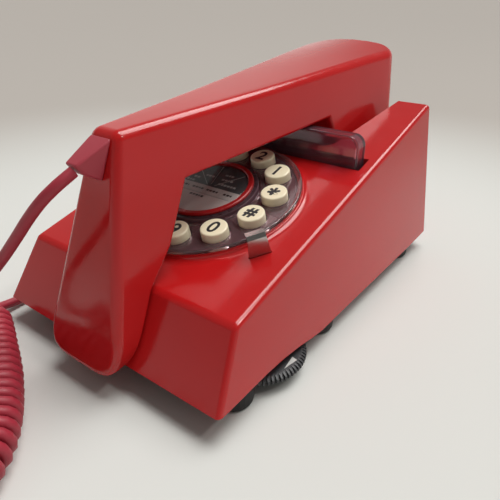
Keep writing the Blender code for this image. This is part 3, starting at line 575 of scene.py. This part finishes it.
# ------------------------------------------------------------------ shapes of the body
def case_block(inset, floor, radius, segments):
    """The body's tapered block, moved inwards by inset, down to a floor height."""
    front, back = wall_at(FRONT_WALL, floor)[0], wall_at(BACK_WALL, floor)[0]
    profile = [(front, floor), FRONT_WALL[1][:2], BACK_WALL[1][:2], (back, floor)]
    profile = offset_edges(profile, (inset, inset, inset, 0.0))
    walls = (FRONT_WALL, FRONT_WALL, BACK_WALL, BACK_WALL)
    sides = []
    for sign in (1, -1):
        sides.append([(sign * (wall_at(wall, z)[1] - inset), y, z) for (y, z), wall in zip(profile, walls)])
    mesh = loft(sides)
    edges = [e for e in mesh.edges if not all(abs(v.co.z - floor * MM) < 1e-6 for v in e.verts)]
    return bevelled(mesh, edges, radius, segments)


def well_block(outset, floor, top, steps=8):
    """The earpiece well as a solid, grown outwards by outset."""
    front, back = WELL_FRONT - outset, WELL_BACK
    half = WELL_HALF + outset
    far = half + WELL_FLARE * (back - front)
    radius = WELL_ROUND + outset
    corner = (half - radius, front + radius)
    right = [(corner[0], front)] + arc(corner, radius, -78, -6, steps) + [(far, back)]
    left = [(-x, y) for x, y in reversed(right)]
    return prism(right + left, floor, top)


TO_BODY = BODY.inverted() @ DIAL         # dial frame to body frame


def in_body(mesh):
    """The dial frame's mesh moved into the body's frame."""
    bmesh.ops.transform(mesh, matrix=TO_BODY, verts=mesh.verts)
    return mesh


def pedestal():
    """The raised rim round the dial: a lip, a rounded edge and a hollow curve down to the body's top."""
    profile = [(OPENING_RADIUS, PEDESTAL_LOW), (OPENING_RADIUS, PEDESTAL_TOP - 0.2),
               (OPENING_RADIUS + 0.2, PEDESTAL_TOP), (PEDESTAL_EDGE, PEDESTAL_TOP)]
    profile += arc((PEDESTAL_EDGE, PEDESTAL_TOP - 0.45), 0.45, 80, 20, 3)
    for degrees in (75, 60, 45, 30, 15, 0):
        a = math.radians(degrees)
        profile.append((PEDESTAL_FOOT - 2.4 * math.sin(a), 0.02 + 0.75 * (1 - math.cos(a))))
    profile += [(PEDESTAL_FOOT, -1.2), (39.0, PEDESTAL_LOW)]
    return lathe(profile, 128, closed=True)


def stop_slot():
    """The slot in the body's top that the finger stop's foot stands in."""
    near, far = STOP_FOOT
    mesh = box((near - 0.2, far + 0.15), (-STOP_WIDE - 0.2, STOP_WIDE + 0.2), (-6, 3))
    return moved(mesh, STOP_PLACE, Matrix.Rotation(math.radians(STOP_TURN), 4, "Z"))


def socket_holes():
    """The hole in the left wall for the handset cord's socket, and in the back wall for the line's."""
    wide, tall = SOCKET_WIDE, SOCKET_TALL
    y, z = SOCKET_LEFT
    left_hole = box((-64, -50), (y - wide, y + wide), (z - tall, z + tall))
    x, z = SOCKET_LINE
    line_hole = box((x - wide, x + wide), (164, 180), (z - tall, z + tall))
    return left_hole, line_hole


def body_shell():
    """The wedge-shaped shell, open below, with its well, dial opening, slots and socket holes."""
    trim = [(-20, -5), (-20, 9.9)] + LOWER_EDGE + [(190, 8.4), (190, -5)]
    well = well_block(WELL_WALL, WELL_FLOOR - WELL_WALL, 96.0)
    hollow = carved(case_block(WALL, -2.0, 1.8, 2), ("DIFFERENCE", well))
    left_hole, line_hole = socket_holes()
    return carved(case_block(0.0, 2.0, BODY_ROUND, 10),
                  ("DIFFERENCE", prism(trim, -70, 70, "x")),
                  ("DIFFERENCE", hollow),
                  ("DIFFERENCE", well_block(0.0, WELL_FLOOR, 98.0)),
                  ("UNION", in_body(pedestal())),
                  ("DIFFERENCE", in_body(cylinder(OPENING_RADIUS, -6, 6, 128))),
                  ("DIFFERENCE", box(SLOT_X, SLOT_Y, (46, 90))),
                  ("DIFFERENCE", in_body(stop_slot())),
                  ("DIFFERENCE", left_hole),
                  ("DIFFERENCE", line_hole))


piece("body_skin", body_shell(), RED, "base", replaces=["case_shell"], edge=0.45)


# ------------------------------------------------------------------ handset
def handset_half(y, z):
    """Half the handset's width, which grows to the back and downwards."""
    return HANDSET_HALF + HANDSET_BACK_FLARE * (y - HALF_Y) - HANDSET_DROP_FLARE * (z - HALF_Z)


def swollen(mesh):
    """The handset's roof rises towards the earpiece, most along its middle line."""
    planes = []
    for share in (-0.85, -0.6, -0.3, 0.0, 0.3, 0.6, 0.85):
        place = (share * handset_half(HALF_Y, HALF_Z), HALF_Y, HALF_Z)
        planes.append((place, (1.0, -share * HANDSET_BACK_FLARE, share * HANDSET_DROP_FLARE)))
    planes += [((0, y, 0), (0, 1, 0)) for y in range(70, 181, 10)]
    for place, normal in planes:
        everything = mesh.verts[:] + mesh.edges[:] + mesh.faces[:]
        bmesh.ops.bisect_plane(mesh, geom=everything, dist=1e-7, plane_co=Vector(place) * MM, plane_no=normal)
    for v in mesh.verts:
        x, y, z = v.co / MM
        along = min(1.0, max(0.0, (y - SWELL_START) / SWELL_REACH)) ** 2
        height = min(1.0, max(0.0, (z - SWELL_LOW) / SWELL_TALL))
        rise = along * height * (SWELL - SWELL_DROP * (x / SWELL_HALF) ** 2)
        v.co.z += rise * MM
        v.co.x *= handset_half(y, z + rise) / handset_half(y, z)
    return mesh


def handset_block(profile, inset, corners, rims=()):
    """A solid between the handset's splayed sides.  corners: (first point, second point, round).

    The faces of the profile carry the tag 0 (top and front), 2 (underside) or 1 (sides and ends), and
    rims holds the radius of the edge between the sides and the faces of tag 0, then of tag 2.
    """
    mesh = bmesh.new()
    rows = []
    for sign in (1, -1):
        edge = [Vector((sign * (handset_half(y, z) - inset), y, z)) * MM for y, z in profile]
        rows.append([mesh.verts.new(point) for point in edge])
    count = len(profile)
    for i in range(count):
        j = (i + 1) % count
        face = mesh.faces.new((rows[0][i], rows[0][j], rows[1][j], rows[1][i]))
        face.material_index = 2 if END_LOW <= i < TIP_BACK else 0
    for row in rows:
        mesh.faces.new(row).material_index = 1
    for low, high, _ in corners:
        for face in mesh.faces:
            if set(face.verts) == {rows[0][low], rows[0][high], rows[1][low], rows[1][high]}:
                face.material_index = 1
    bmesh.ops.recalc_face_normals(mesh, faces=mesh.faces)
    for low, high, (radius, squareness) in corners:
        edges = [e for e in mesh.edges for row in rows if set(e.verts) == {row[low], row[high]}]
        bmesh.ops.bevel(mesh, geom=edges, offset=radius * MM, offset_type="OFFSET", segments=12,
                        profile=squareness, affect="EDGES", material=1)
    for rim, tag in zip(rims, (0, 2)):
        bend = Vector(profile[BEND]) * MM
        edges = []
        for e in mesh.edges:
            at_bend = tag == 0 and all((v.co.yz - bend).length < 1e-6 for v in e.verts)
            if at_bend or {f.material_index for f in e.link_faces} == {tag, 1}:
                edges.append(e)
        bmesh.ops.bevel(mesh, geom=edges, offset=rim * MM, offset_type="OFFSET", segments=6,
                        profile=0.5, affect="EDGES", material=1)
    for face in mesh.faces:
        face.material_index = 0
    bmesh.ops.remove_doubles(mesh, verts=mesh.verts, dist=1e-6)
    bmesh.ops.recalc_face_normals(mesh, faces=mesh.faces)
    return mesh


def handset_edges(top, back, under, tip, front):
    """The handset profile with each of its edges moved in by the distance of its kind."""
    return offset_edges(HANDSET, [top, back] + [under] * (len(UNDERSIDE) - 1) + [tip, front])


ENDS = [(END_TOP, END_LOW, END_ROUND), (TIP_BACK, TIP_FRONT, TIP_ROUND)]


def handset_skin():
    """The handset's hollow shell, open below."""
    wall = HANDSET_WALL
    inner_ends = [(low, high, (radius - wall, squareness)) for low, high, (radius, squareness) in ENDS]
    cavity = handset_block(handset_edges(wall, wall, -1.5, wall, wall), wall + 0.2, inner_ends)
    outside = handset_block(HANDSET, 0.0, ENDS, (HANDSET_RIM, UNDER_RIM))
    return carved(swollen(outside), ("DIFFERENCE", swollen(cavity)))


def cover_skin():
    """The cover of the handset's underside, with its screw, earpiece and mouthpiece holes."""
    inset = HANDSET_WALL + COVER_GAP
    outer = handset_edges(HANDSET_WALL, inset, COVER_RECESS, inset, HANDSET_WALL)[END_LOW:TIP_BACK + 1]
    inner = handset_edges(HANDSET_WALL, inset, COVER_RECESS + COVER_THICK, inset, HANDSET_WALL)
    inner = inner[END_LOW:TIP_BACK + 1]
    band = inner[::-1] + outer
    turn = len(inner)
    ends = [(turn - 1, turn, (END_ROUND[0] - inset, END_ROUND[1])),
            (len(band) - 1, 0, (TIP_ROUND[0] - inset, TIP_ROUND[1]))]
    ear_x, ear_y = EAR_CENTRE
    low = HANDSET[END_LOW][1]
    holes = [moved(cylinder(EAR_HOLE, low - 3, low + 5, 20), (ear_x, ear_y, 0))]
    for i in range(EAR_HOLES):
        a = math.tau * i / EAR_HOLES
        place = (ear_x + EAR_CIRCLE * math.cos(a), ear_y + EAR_CIRCLE * math.sin(a), 0)
        holes.append(moved(cylinder(EAR_HOLE, low - 3, low + 5, 20), place))
    lean = Matrix.Rotation(math.radians(90 - MIC_LEAN), 4, "X")
    for x in (-MIC_GAP, 0, MIC_GAP):
        holes.append(moved(cylinder(MIC_HOLE, -12, 0, 16), (x, *MIC_CENTRE), lean))
    for y in HANDSET_SCREWS:
        holes.append(moved(cylinder(SCREW_HOLE, 60, 90, 24), (0, y, 0)))
    return carved(handset_block(band, inset + 0.2, ends), ("DIFFERENCE", joined(holes)))


piece("handset_skin", handset_skin(), RED, "handset", replaces=["handset_shell"], edge=0.3)
piece("handset_cover_skin", cover_skin(), RED, "handset", replaces=["handset_cover"],
      edge=0.2)


def relief_block():
    """The faceted strain relief, from its face on the handset's leg to its small end."""
    rings = []
    for (top_half, top_y, top_z), (low_half, low_y, low_z) in (LEG_FACE, SMALL_FACE):
        rings.append([(-top_half, top_y, top_z), (top_half, top_y, top_z),
                      (low_half, low_y, low_z), (-low_half, low_y, low_z)])
    mesh = loft(rings)
    return bevelled(mesh, mesh.edges[:], RELIEF_ROUND, 4)


piece("relief_skin", relief_block(), RELIEF_RED, "handset", replaces=["strain_relief"])


# ------------------------------------------------------------------ handset cord
def cord_path():
    """Tail, curly stretch and lead as one line of points, in millimetres."""
    tail = smooth_route(TAIL_ROUTE, 2.0)
    lead = smooth_route(LEAD_ROUTE, 2.0)
    middle = even_route(COIL_ROUTE, COIL_PITCH / COIL_STEPS)
    side = Vector((0, 0, 1)).cross(middle[1] - middle[0]).normalized()
    coil = []
    last = len(middle) - 1
    ramp = COIL_RAMP * COIL_STEPS
    reach = (COIL_OUTER - CORD_WIRE) / 2
    for i, here in enumerate(middle):
        ahead = (middle[min(i + 1, last)] - middle[max(i - 1, 0)]).normalized()
        side = (side - ahead * side.dot(ahead)).normalized()
        up = ahead.cross(side)
        k = min(1.0, i / ramp, (last - i) / ramp)
        radius = reach * k * k * (3 - 2 * k)
        a = math.tau * i / COIL_STEPS
        coil.append(here + (side * math.cos(a) + up * math.sin(a)) * radius)
    return tail + coil + lead


path = cord_path()
cord = piece("cord", sweep(path, CORD_WIRE / 2, 10), CORD_RED, None, sharp_angle=60,
             weighted=False, replaces=["cord_tail", "cord_coil", "cord_lead"])
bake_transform(cord)


# ------------------------------------------------------------------ dial
spots = {}
for i, label in enumerate(BUTTONS):
    a = math.radians(FIRST_BUTTON + 30 * i)
    spots[label] = (BUTTON_CIRCLE * math.cos(a), BUTTON_CIRCLE * math.sin(a))


def rounded_bar(profile, segments, radius, steps=4):
    """A lathe whose top outer corner is rounded; the profile ends at that corner."""
    r, h = profile[-1]
    return lathe(profile[:-1] + arc((r - radius, h - radius), radius, 0, 90, steps), segments)


def key_holes(gap):
    """Cylinders through all the keys' places, wider than a key by a gap all round."""
    return joined([moved(cylinder(BUTTON_RADIUS + gap, -12, 8, 48), (u, v, 0)) for u, v in spots.values()])


def key_mesh():
    """A round key on its flange."""
    side = [(FLANGE_RADIUS, BUTTON_FLOOR), (FLANGE_RADIUS, FLANGE_TOP), (BUTTON_RADIUS + 0.15, FLANGE_TOP),
            (BUTTON_RADIUS, BUTTON_TOP)]
    return rounded_bar(side, 48, 0.65, 5)


for label, (u, v) in spots.items():
    body = f"button_{label}"
    piece(f"key_{label}", moved(key_mesh(), (u, v, 0)), IVORY, body, DIAL, replaces=[body])
    words = FIGURES.get(label, (label, FIGURE_SIZE, FIGURE_WEIGHT))
    figure = moved(text_mesh(*words), (u, v, BUTTON_TOP + 0.02))
    piece(f"figure_{label}", figure, INK, body, DIAL, weighted=False)


def ring_mesh():
    """The clear ring, with a raised bead along its outer and its inner edge."""
    sunk = RING_TOP - 0.35
    lip = [(RING_INNER, RING_LOW), (RING_OUTER - 0.5, RING_LOW), (RING_OUTER, RING_LOW + 0.4)]
    lip += arc((RING_OUTER - 0.5, RING_TOP - 0.5), 0.5, 0, 90, 5)
    lip += [(RING_OUTER - 1.5, RING_TOP), (RING_OUTER - 1.7, sunk), (RING_OUTER - 2.2, sunk)]
    lip += [(RING_INNER + 1.6, sunk), (RING_INNER + 1.3, RING_TOP), (RING_INNER + 0.3, RING_TOP),
            (RING_INNER, RING_TOP - 0.3)]
    return carved(lathe(lip, 144, closed=True), ("DIFFERENCE", key_holes(0.6)))


def base_mesh():
    """The dark plate below the ring, with the hub that the label lies on."""
    hub = [(BASE_RADIUS, BASE_LOW), (BASE_RADIUS, BASE_TOP), (HUB_RADIUS + 0.3, BASE_TOP), (HUB_RADIUS, 1.2),
           (HUB_RADIUS, HUB_TOP)]
    return carved(rounded_bar(hub, 128, 0.4), ("DIFFERENCE", key_holes(0.4)))


def hub_lines():
    """Two fine raised lines round the hub's top, on a ring whose dark colour is painted shade beside the
    label rim.
    """
    low, top = HUB_TOP + 0.06, HUB_TOP + 0.16
    profile = [(18.8, HUB_TOP - 0.02), (20.3, HUB_TOP - 0.02), (20.3, low), (19.9, top), (19.5, low),
               (19.2, top), (18.8, low)]
    return lathe(profile, 128, closed=True)


def wedge_mesh():
    """The pale field under the ring beside the finger stop."""
    start, end = WEDGE
    outline = arc((0, 0), RING_INNER, start, end, 16) + arc((0, 0), OPENING_RADIUS - 0.6, end, start, 16)
    u, v = spots["hash"]
    hole = moved(cylinder(BUTTON_RADIUS + 0.5, 0, 3, 48), (u, v, 0))
    return carved(prism(outline, BASE_TOP + 0.02, BASE_TOP + 0.25), ("DIFFERENCE", hole))


piece("ring_skin", ring_mesh(), SMOKY, "base", DIAL, replaces=["dial_ring"], edge=0.15)
piece("base_skin", base_mesh(), DARK_BASE, "base", DIAL, replaces=["dial_base"],
      edge=0.2)
piece("pale_wedge", wedge_mesh(), GREY_WEDGE, "base", DIAL)
# dark ring round the hub: its colour is painted shade beside the label rim
piece("hub_lines", hub_lines(), HUB_SHADE, "base", DIAL)


def card_field(low_v, high_v, level, height=0.08, radius=15.9):
    """A printed field of the card: the part of the disc between two heights across it."""
    heights = [low_v + (high_v - low_v) * i / 10 for i in range(11)]
    right = [(math.sqrt(radius ** 2 - v ** 2), v) for v in heights]
    return prism(right + [(-u, v) for u, v in reversed(right)], level, level + height)


def marks(rows, level):
    """Rows of short bars that stand for lettering."""
    bars = []
    for u, v, lengths in rows:
        for run in lengths:
            bars.append(box((u, u + run), (v, v + MARK_TALL), (level, level + MARK_THICK)))
            u += run + MARK_GAP
    return joined(bars)


def card_pieces():
    """The card with its printed fields, lines and rows."""
    disc = rounded_bar([(CARD_RADIUS, CARD_LOW), (CARD_RADIUS, CARD_LOW + 0.2)], 96, 0.1, 2)
    piece("label_card", disc, CARD_DARK, "base", DIAL, replaces=["label_disc"])
    top = CARD_LOW + CARD_THICK
    piece("card_band", card_field(-4.0, 0.9, top), CARD_BAND, "base", DIAL, weighted=False)
    piece("card_foot", card_field(-15.8, -4.5, top), CARD_LIGHT, "base", DIAL, weighted=False)
    lines = [box((-15.4, 15.4), (-4.35, -4.1), (top, top + 0.1))]
    for degrees in CARD_RAYS:
        line = box((2.5, 15.6), (-0.12, 0.12), (top, top + 0.1))
        lines.append(moved(line, (0, 0, 0), Matrix.Rotation(math.radians(degrees), 4, "Z")))
    lines.append(box((7.4, 7.65), (-3.8, 0.7), (top + 0.08, top + 0.12)))
    light = marks(LIGHT_ROWS, top)
    piece("card_lines", joined(lines + [light]), WHITE_INK, "base", DIAL, weighted=False)
    piece("card_marks", marks(DARK_ROWS, top + 0.08), INK, "base", DIAL, weighted=False)


def window_mesh():
    """The clear window over the card."""
    return lathe([(CARD_RADIUS, HUB_TOP + 0.75), (CARD_RADIUS, HUB_TOP + 1.0),
                  (CARD_RADIUS - 0.3, HUB_TOP + 1.2), (CARD_RADIUS - 0.8, HUB_TOP + 1.3)], 96)


def rim_mesh():
    """The red ring round the label, rounded on its outer side."""
    top = HUB_TOP + 1.3
    profile = [(RIM_INNER, CARD_LOW), (RIM_OUTER, CARD_LOW), (RIM_OUTER, top - 0.5)]
    profile += arc((RIM_OUTER - 0.7, top - 0.7), 0.7, 20, 90, 5)
    profile += [(RIM_INNER + 0.2, top), (RIM_INNER, top - 0.2)]
    return lathe(profile, 128, closed=True)


card_pieces()
piece("label_window", window_mesh(), CLEAR, "base", DIAL, replaces=["label_lens"])
piece("label_rim", rim_mesh(), RED_RING, "base", DIAL, replaces=["label_ring"])


def stop_half(height):
    """Half width of the finger stop at a height above the body's top."""
    return STOP_WIDE + (STOP_NARROW - STOP_WIDE) * min(1.0, max(0.0, height / 6.8))


def stop_mesh():
    """The finger stop's bent strip, from its foot below the roof up and in towards the ring's lip."""
    mesh = loft([[(s, sign * stop_half(h), h) for s, h in STOP_STRIP] for sign in (-1, 1)])
    return moved(mesh, STOP_PLACE, Matrix.Rotation(math.radians(STOP_TURN), 4, "Z"))


piece("stop_skin", stop_mesh(), MIRROR, "base", DIAL, replaces=["finger_stop"],
      sharp_angle=15.0, weighted=False)


# ------------------------------------------------------------------ cradle plunger
def plunger_mesh():
    """The clear bar that the handset presses down, hollow and open below."""
    mesh = box((-PLUNGER_HALF, PLUNGER_HALF), (PLUNGER_FRONT, PLUNGER_BACK), (PLUNGER_LOW, PLUNGER_TOP))
    top = [e for e in mesh.edges if all(v.co.z > (PLUNGER_TOP - 1) * MM for v in e.verts)
           and abs(e.verts[0].co.y - e.verts[1].co.y) > 1e-4]
    bevelled(mesh, top, 4.8, 8)
    rims = [e for e in mesh.edges if all(v.co.z > (PLUNGER_LOW + 0.1) * MM for v in e.verts)
            and abs(e.verts[0].co.y - e.verts[1].co.y) < 1e-6]
    rims += [e for e in mesh.edges if {round(v.co.z / MM) for v in e.verts} & {round(PLUNGER_LOW)}
             and abs(e.verts[0].co.z - e.verts[1].co.z) > 1e-3 and e not in rims]
    bevelled(mesh, rims, 0.9, 4)
    hollow = box((-PLUNGER_HALF + PLUNGER_WALL, PLUNGER_HALF - PLUNGER_WALL),
                 (PLUNGER_FRONT + PLUNGER_WALL, PLUNGER_BACK - PLUNGER_WALL),
                 (PLUNGER_LOW - 5, PLUNGER_TOP - PLUNGER_WALL))
    top = [e for e in hollow.edges if all(v.co.z > (PLUNGER_TOP - 3) * MM for v in e.verts)
           and abs(e.verts[0].co.y - e.verts[1].co.y) > 1e-4]
    bevelled(hollow, top, 3.2, 6)
    return carved(mesh, ("DIFFERENCE", hollow))


piece("plunger_skin", plunger_mesh(), SMOKY_BAR, "cradle", replaces=["cradle_plunger"])
finish_node("plunger_stem", BLACK)


# ------------------------------------------------------------------ wheel, feet, base
def wheel_skin():
    """The thumbwheel with a bevelled, square-toothed rim, on its axle."""
    outline = []
    for i in range(WHEEL_TEETH):
        for share, depth in ((0.0, 0.0), (0.46, 0.0), (0.54, TOOTH_DEPTH), (0.92, TOOTH_DEPTH)):
            outline.append((math.tau * (i + share) / WHEEL_TEETH, depth))
    rings = []
    for z, inset, toothed in ((WHEEL_LOW, 0.6, 1), (WHEEL_LOW + 0.4, 0.0, 1), (WHEEL_TOP - 0.9, 0.0, 1),
                              (WHEEL_TOP - 0.2, 1.1, 0.7), (WHEEL_TOP, 2.1, 0)):
        rings.append([((WHEEL_RADIUS - inset - depth * toothed) * math.cos(a),
                       (WHEEL_RADIUS - inset - depth * toothed) * math.sin(a), z) for a, depth in outline])
    mesh = carved(loft(rings), ("UNION", cylinder(AXLE_RADIUS, WHEEL_LOW + 1, AXLE_TOP)))
    return moved(mesh, WHEEL_CENTRE)


def wheel_mark():
    """A growing wedge that stands for loudness."""
    mesh = prism([(-3.4, -1.0), (3.4, -1.0), (3.4, 1.3)], WHEEL_TOP + 0.01, WHEEL_TOP + 0.06)
    return moved(mesh, MARK_PLACE, Matrix.Rotation(math.radians(MARK_TURN), 4, "Z"))


piece("wheel_skin", wheel_skin(), WHEEL_BLACK, "volume_wheel", replaces=["volume_wheel"],
      sharp_angle=25.0, weighted=False)
piece("wheel_mark", wheel_mark(), WHITE_INK, "volume_wheel", weighted=False)
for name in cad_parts:
    if name.startswith("foot_"):
        finish_node(name, RUBBER)
    if name.startswith(("base_screw", "handset_screw")):
        finish_node(name, STEEL)
for name in ("base_plate", "hook_switch", "sounder", "line_socket", "cord_socket"):
    finish_node(name, BLACK)
for name in ("volume_control", "ballast_weight", "receiver_capsule", "microphone_capsule"):
    finish_node(name, STEEL)
for name in ("main_board", "key_board"):
    finish_node(name, BOARD)
finish_node("key_membrane", SILICONE)
finish_node("cord_plug", CORD_RED)


# ------------------------------------------------------------------ stage and light
def floor():
    """A pale floor whose colour darkens with distance from the telephone: a painted falloff of the light."""
    mesh = bmesh.new()
    bmesh.ops.create_grid(mesh, x_segments=1, y_segments=1, size=FLOOR_REACH)
    data = bpy.data.meshes.new("floor")
    mesh.to_mesh(data)
    mesh.free()
    made, nodes, shader = new_material("floor")
    place = nodes.add("ShaderNodeTexCoord").outputs["Object"]
    distance = nodes.add("ShaderNodeVectorMath", {0: place}, operation="LENGTH").outputs["Value"]
    # painted falloff of the light: the floor's colour darkens away from the telephone
    fade = nodes.span(distance, FADE_START, FADE_END, how="SMOOTHSTEP")
    made.node_tree.links.new(nodes.blend_colours(fade, FLOOR_NEAR, FLOOR_FAR), shader.inputs["Base Color"])
    shader.inputs["Roughness"].default_value = 0.8
    shader.inputs["Specular IOR Level"].default_value = 0.0
    data.materials.append(made)
    ground = bpy.data.objects.new("floor", data)
    bpy.context.scene.collection.objects.link(ground)


def light(name, kind, place, power, colour, **settings):
    """A light that shines at the middle of the telephone."""
    data = bpy.data.lights.new(name, kind)
    data.energy, data.color = power, colour
    for key, value in settings.items():
        setattr(data, key, value)
    made = bpy.data.objects.new(name, data)
    bpy.context.scene.collection.objects.link(made)
    made.location = place
    made.rotation_euler = (Vector(AIM) - Vector(place)).to_track_quat("-Z", "Y").to_euler()


def sky():
    """A soft grey surround, brighter behind and to the left of the telephone."""
    world = bpy.data.worlds.new("world")
    world.use_nodes = True
    nodes = Nodes(world.node_tree)
    direction = nodes.add("ShaderNodeTexCoord").outputs["Generated"]
    glow = nodes.add("ShaderNodeVectorMath", {0: direction, 1: Vector(GLOW_DIRECTION).normalized()},
                     operation="DOT_PRODUCT").outputs["Value"]
    level = nodes.add("ShaderNodeSeparateXYZ", {"Vector": direction}).outputs["Z"]
    wide = nodes.span(glow, -0.6, 0.9, SKY_FRONT, SKY_BACK)
    near = nodes.span(glow, GLOW_REACH, 1.0, 0.0, GLOW, "SMOOTHSTEP")
    low = nodes.span(level, 0.0, HORIZON_TOP, HORIZON, 0.0, "SMOOTHSTEP")
    strength = nodes.add("ShaderNodeMath", {0: wide, 1: near}, operation="ADD").outputs["Value"]
    strength = nodes.add("ShaderNodeMath", {0: strength, 1: low}, operation="ADD").outputs["Value"]
    background = world.node_tree.nodes["Background"]
    background.inputs["Color"].default_value = SKY_COLOUR
    world.node_tree.links.new(strength, background.inputs["Strength"])
    bpy.context.scene.world = world


floor()
sky()
light("overhead", "SUN", SUN_PLACE, SUN_POWER, (1.0, 0.99, 0.97), angle=SUN_ANGLE)
light("lamp", "AREA", LAMP_PLACE, LAMP_POWER, (1.0, 0.98, 0.94), shape="DISK", size=LAMP_SIZE)
bpy.context.scene.view_settings.view_transform = "Standard"
